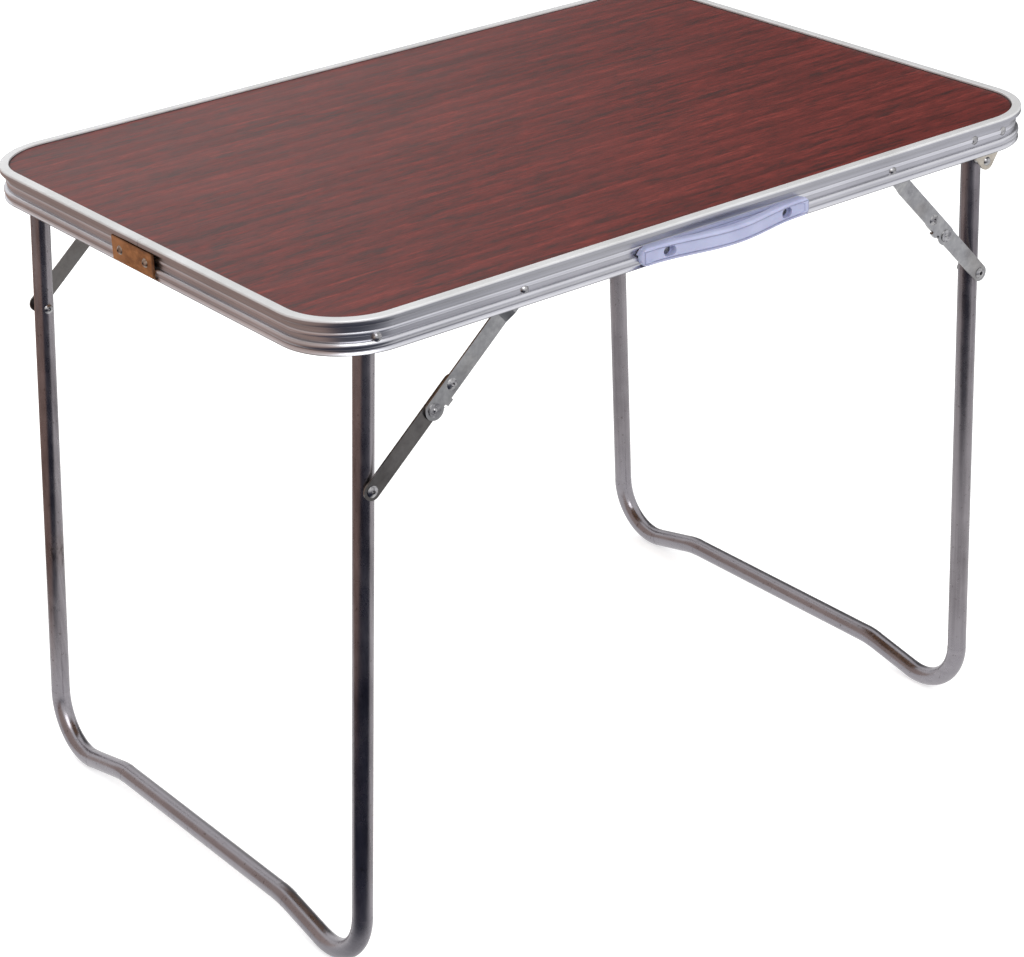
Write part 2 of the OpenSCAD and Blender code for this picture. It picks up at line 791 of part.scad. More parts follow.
// Everything that fixes one stay in the XZ plane, for a stay on the left or the right
left_top = [-stay_x, stay_z];
right_top = [stay_x, stay_z];
left_low = [left_x, left_z] + left_stay_low * [-sin(left_splay), -cos(left_splay)];
right_low = [right_x, right_z] + right_stay_low * [sin(right_splay), -cos(right_splay)];
function heading(from, to) = atan2(to[1] - from[1], to[0] - from[0]);
function upper_len(top, low, more) = (norm(low - top) - more) / 2;
function lower_len(top, low, more) = (norm(low - top) + more) / 2;

// Puts a link that is drawn along +X at point p, turned to its heading
module at_joint(p, angle) {
    translate([p[0], 0, p[1]]) rotate([0, -angle, 0]) children();
}

// Upper link's outline from the origin to the catch stud at x = len, extruded along Y
module strap_outline(len, shift, y0, y1) {
    translate([0, y1, 0]) rotate([90, 0, 0]) linear_extrude(height = y1 - y0) {
        translate([0, -stay_w / 2]) square([len, stay_w]);
        circle(d = stay_w);
        translate([len, shift]) circle(r = catch_end_r);
    }
}

// The stop lug's side is 1 for +Z and -1 for -Z in the link's own frame
module upper_link(len, lug_side) {
    reach = len + catch_at;
    inner = upper_link_y;
    outer = inner + stay_t;
    edge = stay_w / 2 + lug_gap;
    difference() {
        union() {
            intersection() {
                strap_outline(reach, lug_side * catch_shift, inner - cut, outer + joggle + cut);
                linear_extrude(height = 3 * stay_w, center = true) polygon([
                    [-stay_w, inner + joggle], [joggle_at, inner + joggle],
                    [joggle_at + joggle_len, inner], [reach + stay_w, inner],
                    [reach + stay_w, outer], [joggle_at + joggle_len, outer],
                    [joggle_at, outer + joggle], [-stay_w, outer + joggle]]);
            }
            // Stop lug, bent inward over the edge of the lower link
            mirror([0, 0, lug_side > 0 ? 0 : 1]) {
                translate([len + lug_at, lower_link_y, edge])
                    cube([lug_len, outer - lower_link_y, stay_t]);
                translate([len + lug_at, inner, 0]) cube([lug_len, stay_t, edge + stay_t]);
            }
        }
        // Notch beside the lug
        mirror([0, 0, lug_side > 0 ? 0 : 1])
            translate([len + lug_at + lug_len, inner - cut, stay_w / 2 - lug_notch / 2])
                cube([lug_notch, stay_t + 2 * cut, lug_notch]);
        y_rod(pin_hole_d, inner, outer + joggle + cut);
        y_rod(pin_hole_d, inner - cut, outer + cut, len);
        y_rod(small_hole_d, inner - cut, outer + cut, reach, lug_side * catch_shift);
    }
}

// The hole lies behind the upper link's catch stud
module lower_link(len, side) {
    inner = lower_link_y;
    difference() {
        translate([0, inner + stay_t, 0]) rotate([90, 0, 0]) linear_extrude(height = stay_t) {
            translate([0, -stay_w / 2]) square([len, stay_w]);
            for (x = [0, len]) translate([x, 0]) circle(d = stay_w);
        }
        for (x = [0, len]) y_rod(pin_hole_d, inner - cut, inner + stay_t + cut, x);
        y_rod(small_hole_d, inner - cut, inner + stay_t + cut, len - catch_at, side * catch_shift);
    }
}

// The knee rivet ends where the two links meet, because the knee is the open pivot
module knee_rivet(len) {
    outer = upper_link_y + stay_t;
    difference() {
        union() {
            y_dome(rivet_head_d, rivet_head_h, outer, len);
            y_rod(pin_d, upper_link_y, outer, len);
        }
        y_rod(rivet_hollow_d, outer + rivet_head_h - hollow_depth / 2, outer + rivet_head_h + cut, len);
    }
}

module knee_rivet_tail(len) {
    difference() {
        union() {
            y_rod(pin_d, lower_link_y, lower_link_y + stay_t, len);
            y_dome(tail_head_d, rivet_head_h, lower_link_y, len, inward = true);
        }
        y_rod(rivet_hollow_d, lower_link_y - rivet_head_h - cut,
            lower_link_y - rivet_head_h + hollow_depth / 2, len);
    }
}

// Flat-headed catch stud with a small pip in the middle of its head
module catch_stud(len, side) {
    outer = upper_link_y + stay_t;
    translate([len + catch_at, 0, side * catch_shift]) {
        y_rod(stud_head_d, outer, outer + stud_head_h);
        y_dome(stud_head_d / 3, stud_head_h, outer + stud_head_h);
        y_rod(small_d, upper_link_y, outer);
    }
}

// Rivets of the stays' upper pivots: head outside, shoulder through wall and link, head inside
module stay_upper_rivets() {
    inner = top_link_y - slide_gap;
    color("silver") both_sides() for (x = [-stay_x, stay_x]) {
        y_dome(head_d, head_h, wall_out_y + curve_gap, x, stay_z);
        y_rod(pin_d, inner, wall_out_y + curve_gap, x, stay_z);
        y_dome(tail_head_d, rivet_head_h, inner, x, stay_z, inward = true);
    }
}

module left_upper() {
    at_joint(left_top, heading(left_top, left_low)) children();
}

module left_lower() {
    at_joint(left_low, heading(left_low, left_top)) children();
}

module right_upper() {
    at_joint(right_top, heading(right_top, right_low)) children();
}

module right_lower() {
    at_joint(right_low, heading(right_low, right_top)) children();
}

left_upper_len = upper_len(left_top, left_low, left_link_more);
left_lower_len = lower_len(left_top, left_low, left_link_more);
right_upper_len = upper_len(right_top, right_low, right_link_more);
right_lower_len = lower_len(right_top, right_low, right_link_more);

module left_front_upper_link() {
    color("darkgray") side(true) left_upper() upper_link(left_upper_len, 1);
}
module left_front_lower_link() {
    color("darkgray") side(true) left_lower() lower_link(left_lower_len, -1);
}
module left_front_knee_rivet() {
    color("silver") side(true) left_upper() knee_rivet(left_upper_len);
}
module left_front_knee_rivet_tail() {
    color("silver") side(true) left_lower() knee_rivet_tail(left_lower_len);
}
module left_front_catch_stud() {
    color("silver") side(true) left_upper() catch_stud(left_upper_len, 1);
}
module left_back_upper_link() {
    color("darkgray") side(false) left_upper() upper_link(left_upper_len, 1);
}
module left_back_lower_link() {
    color("darkgray") side(false) left_lower() lower_link(left_lower_len, -1);
}
module left_back_knee_rivet() {
    color("silver") side(false) left_upper() knee_rivet(left_upper_len);
}
module left_back_knee_rivet_tail() {
    color("silver") side(false) left_lower() knee_rivet_tail(left_lower_len);
}
module left_back_catch_stud() {
    color("silver") side(false) left_upper() catch_stud(left_upper_len, 1);
}
module right_front_upper_link() {
    color("darkgray") side(true) right_upper() upper_link(right_upper_len, -1);
}
module right_front_lower_link() {
    color("darkgray") side(true) right_lower() lower_link(right_lower_len, 1);
}
module right_front_knee_rivet() {
    color("silver") side(true) right_upper() knee_rivet(right_upper_len);
}
module right_front_knee_rivet_tail() {
    color("silver") side(true) right_lower() knee_rivet_tail(right_lower_len);
}
module right_front_catch_stud() {
    color("silver") side(true) right_upper() catch_stud(right_upper_len, -1);
}
module right_back_upper_link() {
    color("darkgray") side(false) right_upper() upper_link(right_upper_len, -1);
}
module right_back_lower_link() {
    color("darkgray") side(false) right_lower() lower_link(right_lower_len, 1);
}
module right_back_knee_rivet() {
    color("silver") side(false) right_upper() knee_rivet(right_upper_len);
}
module right_back_knee_rivet_tail() {
    color("silver") side(false) right_lower() knee_rivet_tail(right_lower_len);
}
module right_back_catch_stud() {
    color("silver") side(false) right_upper() catch_stud(right_upper_len, -1);
}

// Every piece is set so that the whole object stands centred over the origin
module set_down() {
    translate([origin_x, origin_y, 0]) children();
}

set_down() table_board();
set_down() rim_frame();
set_down() joint_plate();
set_down() joint_plate_rivets();
set_down() handle();
set_down() handle_screws();
set_down() handle_nuts();
set_down() front_ear_bracket();
set_down() back_ear_bracket();
set_down() ear_bracket_rivets();
set_down() left_pivot_bolts();
set_down() left_pivot_spacers();
set_down() left_pivot_nuts();
set_down() right_pivot_bolts();
set_down() right_pivot_spacers();
set_down() right_pivot_nuts();
set_down() stay_upper_rivets();
set_down() left_leg_frame();
set_down() left_stay_lower_rivets();
set_down() left_stay_washers();
set_down() right_leg_frame();
set_down() right_stay_lower_rivets();
set_down() right_stay_spacers();
set_down() left_front_upper_link();
set_down() left_front_lower_link();
set_down() left_front_knee_rivet();
set_down() left_front_knee_rivet_tail();
set_down() left_front_catch_stud();
set_down() left_back_upper_link();
set_down() left_back_lower_link();
set_down() left_back_knee_rivet();
set_down() left_back_knee_rivet_tail();
set_down() left_back_catch_stud();
set_down() right_front_upper_link();
set_down() right_front_lower_link();
set_down() right_front_knee_rivet();
set_down() right_front_knee_rivet_tail();
set_down() right_front_catch_stud();
set_down() right_back_upper_link();
set_down() right_back_lower_link();
set_down() right_back_knee_rivet();
set_down() right_back_knee_rivet_tail();
set_down() right_back_catch_stud();
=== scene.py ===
# Folding camping table: its rim, finishes, floor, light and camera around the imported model.
# Lengths are in metres, in the frame of the model: X along the table, -Y the handle's
# side, Z up from the floor.
import math

import bmesh
import bpy
from mathutils import Matrix, Vector


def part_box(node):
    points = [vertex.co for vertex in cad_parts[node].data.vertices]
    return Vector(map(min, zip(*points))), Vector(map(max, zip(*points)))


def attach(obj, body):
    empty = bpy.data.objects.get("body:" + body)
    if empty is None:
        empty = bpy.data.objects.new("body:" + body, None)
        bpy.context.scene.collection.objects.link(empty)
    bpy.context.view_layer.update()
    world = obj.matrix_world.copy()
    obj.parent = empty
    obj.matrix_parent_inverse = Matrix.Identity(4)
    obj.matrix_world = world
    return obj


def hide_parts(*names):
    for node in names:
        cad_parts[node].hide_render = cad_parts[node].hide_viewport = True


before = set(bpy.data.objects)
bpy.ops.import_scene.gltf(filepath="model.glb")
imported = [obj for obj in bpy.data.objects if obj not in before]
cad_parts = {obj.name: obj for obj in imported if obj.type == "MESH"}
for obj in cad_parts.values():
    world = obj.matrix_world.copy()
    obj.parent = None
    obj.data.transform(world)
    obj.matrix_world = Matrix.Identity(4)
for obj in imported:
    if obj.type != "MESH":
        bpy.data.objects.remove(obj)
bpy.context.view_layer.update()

MM = 0.001

# Camera, as fitted to the photograph: place, angles in degrees, and the focal length in
# pixels of a picture that is IMAGE_W wide
CAMERA_AT = Vector((-1.3036, -1.7461, 1.2645))
CAMERA_HEADING = 36.292
CAMERA_DOWN = 25.433
CAMERA_ROLL = -2.599
FOCAL_PX = 2875.1
IMAGE_W = 1024
SENSOR_MM = 36.0

# Places on the table, from the model's own boxes
RIM_LOW, RIM_HIGH = (Vector(corner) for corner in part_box("rim_frame"))
PLATE_LOW, PLATE_HIGH = (Vector(corner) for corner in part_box("joint_plate"))
HANDLE_LOW, HANDLE_HIGH = (Vector(corner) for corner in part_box("handle"))
RIM_TOP = RIM_HIGH.z
RIM_DEPTH = RIM_HIGH.z - RIM_LOW.z
MIDDLE = (RIM_LOW + RIM_HIGH) / 2

# The rim's lip, round corners and seam
LIP_WIDTH = 7.5 * MM
RIM_CORNER = 58 * MM
BOARD_CORNER = RIM_CORNER - LIP_WIDTH
SEAM_Y = 2.1 * MM
SEAM_GAP = 0.4 * MM
CORNER_STEPS = 24
RIM_SHARP_ANGLE = 28.0

# The leg frames: the tube's radius, the left frame's splay, the heights between which the
#  drawn streaks turn from the cross bar's direction to the legs', and those between which
#  the foot's painted reflection of the bright floor fades
TUBE_RADIUS = 8 * MM
LEFT_LEAN = math.tan(math.radians(4.5))
CROSS_BAR_ENDS = (0.035, 0.075)
PAINTED_FOOT_SHEEN = (0.03, 0.12)

# Marks on the left frame: the back leg's smudge, and the height and size of two nicks
SMUDGE_Z = 0.185
BACK_NICK = (0.132, 5 * MM)
FRONT_NICK = (0.098, 4 * MM)

# Width of the painted shade along the board's edge under the lip, and the inset of the handle's
# moulded line
EDGE_SHADE_WIDTH = 2.2 * MM
HANDLE_LINE = 2.4 * MM

# The studio
FLOOR_SIZE = (60, 60)
WORLD_DIFFUSE = 0.62
BACK_CARD_AWAY = 4.0
BACK_CARD_HEIGHT = 2.0
BACK_CARD_SIZE = (9.0, 4.0)
LEFT_CARD_AT = (-5.0, 4.0, 5.0)
LEFT_CARD_SIZE = (16.0, 10.0)
LEFT_CARD_TONE = (0.60, 0.49, 0.44, 1.0)


def srgb(r, g, b):
    """A colour given as 0-255 screen values, as the linear values that the shaders use."""
    def linear(v):
        v /= 255
        return v / 12.92 if v <= 0.04045 else ((v + 0.055) / 1.055) ** 2.4
    return (linear(r), linear(g), linear(b), 1.0)


def grey(value):
    return (value, value, value, 1.0)


class Net:
    """A material's node tree, with short calls for the nodes used here."""

    def __init__(self, name):
        self.mat = bpy.data.materials.new(name)
        self.mat.use_nodes = True
        self.tree = self.mat.node_tree
        self.tree.nodes.clear()
        self.out = self.add("ShaderNodeOutputMaterial")
        self.bsdf = self.add("ShaderNodeBsdfPrincipled")
        self.link(self.bsdf.outputs[0], self.out.inputs[0])
        self.coords = self.add("ShaderNodeTexCoord").outputs["Object"]

    def add(self, kind, **settings):
        node = self.tree.nodes.new(kind)
        for key, value in settings.items():
            setattr(node, key, value)
        return node

    def link(self, a, b):
        self.tree.links.new(a, b)

    def put(self, socket, value):
        """Links or sets an input, whichever the value calls for."""
        if isinstance(value, bpy.types.NodeSocket):
            self.link(value, socket)
        else:
            socket.default_value = value

    def set(self, **values):
        names = {"color": "Base Color", "rough": "Roughness", "metal": "Metallic",
                 "spec": "Specular IOR Level", "normal": "Normal",
                 "sss": "Subsurface Weight", "sss_scale": "Subsurface Scale"}
        for key, value in values.items():
            self.put(self.bsdf.inputs[names[key]], value)
        return self.mat

    def scaled(self, scale, offset=(0, 0, 0), source=None):
        node = self.add("ShaderNodeMapping")
        self.link(source or self.coords, node.inputs["Vector"])
        node.inputs["Scale"].default_value = scale
        node.inputs["Location"].default_value = offset
        return node.outputs[0]

    def noise(self, scale, detail=3.0, rough=0.5, bend=0.0, offset=(0, 0, 0), source=None):
        node = self.add("ShaderNodeTexNoise")
        self.link(self.scaled(scale, offset, source), node.inputs["Vector"])
        node.inputs["Scale"].default_value = 1.0
        node.inputs["Detail"].default_value = detail
        node.inputs["Roughness"].default_value = rough
        node.inputs["Distortion"].default_value = bend
        return node.outputs["Fac"]

    def ramp(self, value, *stops):
        node = self.add("ShaderNodeValToRGB")
        self.link(value, node.inputs[0])
        bar = node.color_ramp
        while len(bar.elements) < len(stops):
            bar.elements.new(0.5)
        for element, (place, color) in zip(bar.elements, stops):
            element.position = place
            element.color = color
        return node.outputs[0]

    def span(self, value, low, high, to_low=0.0, to_high=1.0, smooth=False):
        node = self.add("ShaderNodeMapRange")
        if smooth:
            node.interpolation_type = "SMOOTHSTEP"
        self.link(value, node.inputs["Value"])
        for key, number in zip(("From Min", "From Max", "To Min", "To Max"),
                               (low, high, to_low, to_high)):
            node.inputs[key].default_value = number
        return node.outputs[0]

    def math(self, work, a, b=0.0):
        node = self.add("ShaderNodeMath", operation=work)
        self.put(node.inputs[0], a)
        self.put(node.inputs[1], b)
        return node.outputs[0]

    def blend(self, *parts):
        """Adds values by their shares: (value, share), ..."""
        total = None
        for value, share in parts:
            piece = self.math("MULTIPLY", value, share)
            total = piece if total is None else self.math("ADD", total, piece)
        return total

    def mix(self, share, a, b, mode="MIX"):
        node = self.add("ShaderNodeMix", data_type="RGBA", blend_type=mode)
        self.put(node.inputs["Factor"], share)
        for socket in node.inputs:
            if socket.type == "RGBA":
                self.put(socket, a if socket.name == "A" else b)
        return next(o for o in node.outputs if o.type == "RGBA")

    def axis(self, name):
        node = self.add("ShaderNodeSeparateXYZ")
        self.link(self.coords, node.inputs[0])
        return node.outputs[name]

    def spot(self, centre, size, soft=1.0):
        """1 at a place, fading to 0 over an ellipsoid of this size round it."""
        gap = self.add("ShaderNodeVectorMath", operation="SUBTRACT")
        self.link(self.coords, gap.inputs[0])
        gap.inputs[1].default_value = centre
        share = self.add("ShaderNodeVectorMath", operation="DIVIDE")
        self.link(gap.outputs[0], share.inputs[0])
        share.inputs[1].default_value = size
        length = self.add("ShaderNodeVectorMath", operation="LENGTH")
        self.link(share.outputs[0], length.inputs[0])
        return self.span(length.outputs["Value"], 1.0 - soft, 1.0, 1.0, 0.0, smooth=True)

    def bump(self, height, depth, strength=1.0):
        node = self.add("ShaderNodeBump")
        self.link(height, node.inputs["Height"])
        node.inputs["Distance"].default_value = depth
        node.inputs["Strength"].default_value = strength
        return node.outputs[0]


def board_print():
    """Dark red-brown wood print: wispy streaks along the table, grey-brown lens marks."""
    n = Net("board_print")
    broad = n.noise((3.0, 20.0, 1.0), detail=3.0, rough=0.55, bend=0.6)
    band = n.noise((10.0, 80.0, 1.0), detail=5.0, rough=0.66, bend=0.6, offset=(2, 6, 0))
    streak = n.noise((30.0, 230.0, 1.0), detail=5.0, rough=0.75, bend=0.4, offset=(3, 1, 0))
    hair = n.noise((75.0, 480.0, 1.0), detail=4.0, rough=0.8, bend=0.2, offset=(1, 9, 0))
    lens = n.noise((17.0, 75.0, 1.0), detail=4.0, rough=0.62, bend=1.0, offset=(7, 4, 0))
    figure = n.add("ShaderNodeTexWave", bands_direction="Y", wave_profile="SAW")
    n.link(n.scaled((2.2, 17.0, 1.0), (3, 1, 0)), figure.inputs["Vector"])
    for name, value in (("Scale", 0.9), ("Distortion", 7.0), ("Detail", 4.0),
                        ("Detail Scale", 0.8), ("Detail Roughness", 0.6)):
        figure.inputs[name].default_value = value
    rings = n.span(figure.outputs["Fac"], 0.0, 1.0, 0.36, 0.64)
    tone = n.blend((broad, 0.10), (rings, 0.16), (band, 0.14), (streak, 0.28), (hair, 0.32))
    wood = n.ramp(tone,
                  (0.41, srgb(54, 22, 21)), (0.46, srgb(78, 29, 26)),
                  (0.50, srgb(96, 34, 30)), (0.54, srgb(112, 40, 35)),
                  (0.59, srgb(138, 56, 48)))
    dust = n.span(broad, 0.42, 0.62, 0.0, 0.12, smooth=True)
    wood = n.mix(dust, wood, srgb(104, 54, 50))
    wisps = n.math("MULTIPLY", n.span(lens, 0.54, 0.64, 0.0, 1.0, smooth=True),
                   n.span(streak, 0.44, 0.56, 1.0, 0.1))
    wood = n.mix(n.math("MULTIPLY", wisps, 0.62), wood, srgb(52, 32, 31))
    pores = n.span(hair, 0.57, 0.66, 0.0, 0.45)
    wood = n.mix(pores, wood, srgb(44, 19, 19))

    # Painted shade in the corner where the board meets the lip
    edge = board_edge_gap(n)
    wood = n.mix(n.span(edge, 0.0, EDGE_SHADE_WIDTH, 0.9, 0.0, smooth=True), wood, srgb(22, 10, 10))
    rough = n.span(streak, 0.3, 0.7, 0.30, 0.40)
    return n.set(color=wood, rough=rough, spec=0.16, normal=n.bump(streak, 0.02 * MM, 0.4))


def board_edge_gap(n):
    """Distance inward from the lip's inner edge, which is a rectangle with round corners."""
    half_x = (RIM_HIGH.x - RIM_LOW.x) / 2 - LIP_WIDTH - BOARD_CORNER
    half_y = (RIM_HIGH.y - RIM_LOW.y) / 2 - LIP_WIDTH - BOARD_CORNER
    outer = []
    for name, centre, half in (("X", MIDDLE.x, half_x), ("Y", MIDDLE.y, half_y)):
        gap = n.math("ABSOLUTE", n.math("SUBTRACT", n.axis(name), centre))
        outer.append(n.math("MAXIMUM", n.math("SUBTRACT", gap, half), 0.0))
    square = n.math("ADD", n.math("POWER", outer[0], 2.0), n.math("POWER", outer[1], 2.0))
    return n.math("SUBTRACT", BOARD_CORNER, n.math("SQRT", square))


def board_back():
    """The board's bare underside: brown pressed board with fine fibres."""
    n = Net("board_back")
    fibre = n.noise((260.0, 300.0, 200.0), detail=5.0, rough=0.7)
    cloud = n.noise((14.0, 18.0, 10.0), detail=3.0)
    tan = n.ramp(n.blend((fibre, 0.6), (cloud, 0.4)),
                 (0.36, srgb(104, 74, 50)), (0.5, srgb(136, 100, 70)), (0.64, srgb(160, 124, 92)))
    return n.set(color=tan, rough=0.82, spec=0.25, normal=n.bump(fibre, 0.1 * MM, 0.5))


# Brightness of the extrusion by depth below the lip's top, in mm: painted shade under the lip, beside
# the rib,
#  in the groove below the bead and at the bottom edge, and painted highlights on the rib and the bead.
#  At BAND_FULL its own colour shows unchanged
BAND_FULL = 1.2
RIM_PAINTED_BANDS = ((0.0, 1.0), (1.5, 1.0), (2.1, 0.74), (4.6, 0.70), (5.2, 0.58), (5.9, 0.56),
             (7.6, 0.72), (9.8, 0.78), (10.8, 0.80), (11.4, 1.12), (13.4, 1.12), (14.0, 0.76),
             (15.0, 0.84), (17.2, 0.80), (18.0, 1.02), (20.0, 1.02), (20.8, 0.86), (23.0, 0.76),
             (23.7, 0.62), (24.3, 1.08), (26.2, 1.12), (26.5, 0.40), (27.0, 0.36))


def rim_metal():
    """Bright anodised extrusion: satin lip, fine lines along the run, and painted shade and highlights
    by depth.
    """
    n = Net("rim_metal")
    depth = n.math("SUBTRACT", RIM_TOP, n.axis("Z"))
    share = n.span(depth, 0.0, RIM_DEPTH)
    painted_rim_light = n.ramp(share, *((h * MM / RIM_DEPTH, grey(v / BAND_FULL)) for h, v in RIM_PAINTED_BANDS))
    lines = n.noise((1.2, 1.2, 2200.0), detail=3.0, rough=0.6)
    cloud = n.noise((14.0, 14.0, 40.0), detail=3.0, rough=0.55)
    metal = n.ramp(n.blend((lines, 0.6), (cloud, 0.4)),
                   (0.38, (0.64, 0.64, 0.68, 1)), (0.5, (0.73, 0.73, 0.78, 1)),
                   (0.62, (0.81, 0.81, 0.86, 1)))
    metal = n.mix(1.0, metal, painted_rim_light, "MULTIPLY")
    top = n.span(depth, 0.9 * MM, 2.2 * MM, 1.0, 0.0, smooth=True)
    satin = n.ramp(cloud, (0.35, srgb(212, 212, 212)), (0.65, srgb(228, 228, 229)))
    metal = n.mix(top, metal, satin)
    rough = n.span(top, 0.0, 1.0, 0.30, 0.48)
    return n.set(color=metal, metal=n.span(top, 0.0, 1.0, 1.0, 0.40), rough=rough, spec=0.4,
                 normal=n.bump(lines, 0.015 * MM, 0.3))


def tube_metal(name, lean):
    """Dark plated tube, smooth, with faint drawn streaks, clouds, specks and a foot made paler by a
    painted reflection of the bright floor.

    lean is how far the legs' streaks lean along X for each metre of height. Returns the net,
    the colour, and the clouds and streaks that finish_tube needs.
    """
    n = Net(name)
    shear = n.add("ShaderNodeVectorMath", operation="ADD")
    slant = n.add("ShaderNodeCombineXYZ")
    n.link(n.math("MULTIPLY", n.axis("Z"), lean), slant.inputs["X"])
    n.link(n.coords, shear.inputs[0])
    n.link(slant.outputs[0], shear.inputs[1])
    upright = shear.outputs[0]
    on_legs = n.span(n.axis("Z"), *CROSS_BAR_ENDS, smooth=True)

    def streak(across, along, offset):
        legs = n.noise((across, across, along), rough=0.6, offset=offset, source=upright)
        bar = n.noise((across, along, across), rough=0.6, offset=offset)
        mixed = n.add("ShaderNodeMix")
        n.link(on_legs, mixed.inputs["Factor"])
        n.link(bar, mixed.inputs["A"])
        n.link(legs, mixed.inputs["B"])
        return mixed.outputs[0]

    wide = streak(90.0, 4.0, (0, 0, 0))
    thin = streak(520.0, 12.0, (5, 2, 1))
    cloud = n.noise((38.0, 38.0, 26.0), detail=4.0, rough=0.6)
    specks = n.noise((340.0, 340.0, 260.0), detail=2.0, offset=(3, 3, 3))
    metal = n.ramp(n.blend((wide, 0.45), (thin, 0.2), (cloud, 0.35)),
                   (0.38, srgb(116, 111, 115)), (0.5, srgb(138, 133, 137)),
                   (0.62, srgb(156, 151, 155)))
    # Painted reflection of the bright floor: the tube grows paler towards its foot
    foot_sheen = n.span(n.axis("Z"), *PAINTED_FOOT_SHEEN, 0.50, 0.0, smooth=True)
    metal = n.mix(foot_sheen, metal, srgb(166, 163, 170))
    metal = n.mix(n.span(specks, 0.66, 0.74, 0.0, 0.5), metal, srgb(72, 62, 58))
    return n, metal, cloud, thin


def finish_tube(n, metal, cloud, thin):
    """Satin plating, a little rougher in the paler clouds."""
    rough = n.span(cloud, 0.35, 0.65, 0.22, 0.32)
    return n.set(color=metal, metal=1.0, rough=rough, normal=n.bump(thin, 0.01 * MM, 0.25))


def left_tube():
    """The left frame's tube: a smudge with cracks on its back leg, and a nick on each leg."""
    n, metal, cloud, thin = tube_metal("left_tube_metal", LEFT_LEAN)
    low, high = (Vector(corner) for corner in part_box("left_leg_frame"))
    front_y = low.y + TUBE_RADIUS
    back_y = high.y - TUBE_RADIUS

    def leg_x(z):
        return low.x + TUBE_RADIUS + LEFT_LEAN * z

    smudge = n.spot((leg_x(SMUDGE_Z), back_y, SMUDGE_Z), (30 * MM, 30 * MM, 26 * MM))
    veins = n.noise((420.0, 420.0, 90.0), detail=4.0, rough=0.7, bend=1.2)
    cracks = n.math("MULTIPLY", smudge, n.span(veins, 0.53, 0.60, 0.0, 0.75))
    metal = n.mix(n.math("MULTIPLY", smudge, 0.35), metal, srgb(98, 76, 62))
    metal = n.mix(cracks, metal, srgb(38, 30, 27))
    for y, (z, size) in ((back_y, BACK_NICK), (front_y, FRONT_NICK)):
        nick = n.spot((leg_x(z) - TUBE_RADIUS, y - TUBE_RADIUS, z), (8 * MM, 8 * MM, size))
        chips = n.math("MULTIPLY", nick, n.span(veins, 0.47, 0.54, 0.0, 0.9))
        metal = n.mix(chips, metal, srgb(34, 31, 34))
    return finish_tube(n, metal, cloud, thin)


def right_tube():
    return finish_tube(*tube_metal("right_tube_metal", 0.0))


def strip_metal(name, shade):
    """Zinc-plated strip: cloudy grey with smudges and a little brown. shade is how much painted shade
    darkens it.
    """
    n = Net(name)
    cloud = n.noise((60.0, 60.0, 60.0), detail=5.0, rough=0.62, bend=0.4)
    spangle = n.noise((230.0, 230.0, 230.0), detail=3.0, rough=0.6)
    bloom = n.noise((28.0, 28.0, 28.0), detail=4.0, offset=(2, 5, 1))
    metal = n.ramp(n.blend((cloud, 0.6), (spangle, 0.4)),
                   (0.36, srgb(146, 146, 148)), (0.5, srgb(166, 166, 167)),
                   (0.62, srgb(182, 182, 182)))
    metal = n.mix(n.span(bloom, 0.54, 0.70, 0.0, 0.30), metal, srgb(124, 116, 106))
    metal = n.mix(shade, metal, srgb(92, 86, 80))
    return n.set(color=metal, metal=1.0, rough=n.span(cloud, 0.3, 0.7, 0.26, 0.42),
                 normal=n.bump(cloud, 0.06 * MM, 0.3))


def bracket_metal():
    """Nickel-plated pressed steel, a little warm and mottled."""
    n = Net("bracket_metal")
    cloud = n.noise((120.0, 120.0, 120.0), detail=4.0, rough=0.6)
    metal = n.ramp(cloud, (0.35, srgb(176, 168, 154)), (0.65, srgb(214, 207, 194)))
    return n.set(color=metal, metal=1.0, rough=n.span(cloud, 0.3, 0.7, 0.24, 0.38),
                 normal=n.bump(cloud, 0.04 * MM, 0.3))


def fastener_metal():
    """Bright zinc on bolts, rivets, sleeves and nuts."""
    n = Net("fastener_metal")
    cloud = n.noise((350.0, 350.0, 350.0), detail=3.0)
    metal = n.ramp(cloud, (0.35, srgb(128, 127, 130)), (0.65, srgb(190, 189, 190)))
    return n.set(color=metal, metal=1.0, rough=n.span(cloud, 0.3, 0.7, 0.20, 0.34))


def screw_metal():
    """Dull grey screws sunk in the handle's pockets."""
    n = Net("screw_metal")
    cloud = n.noise((350.0, 350.0, 350.0), detail=3.0)
    metal = n.ramp(cloud, (0.35, srgb(112, 114, 124)), (0.65, srgb(148, 150, 160)))
    return n.set(color=metal, metal=0.8, rough=0.45)


def plate_rivet_metal():
    """Dulled rivets, each with a spot of painted shade where its mandrel broke off and left a hole."""
    n = Net("plate_rivet_metal")
    low, high = (Vector(corner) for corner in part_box("joint_plate_rivets"))
    radius = (high.z - low.z) / 2
    cloud = n.noise((350.0, 350.0, 350.0), detail=3.0)
    metal = n.ramp(cloud, (0.35, srgb(120, 104, 92)), (0.65, srgb(186, 172, 160)))
    for y in (low.y + radius, high.y - radius):
        # A dark spot of painted shade stands for the shadow in each mandrel's hole
        hollow_shade = n.spot((low.x, y, (low.z + high.z) / 2), (4 * MM, 1.3 * MM, 1.3 * MM), soft=0.5)
        metal = n.mix(hollow_shade, metal, srgb(34, 24, 20))
    return n.set(color=metal, metal=1.0, rough=0.36)


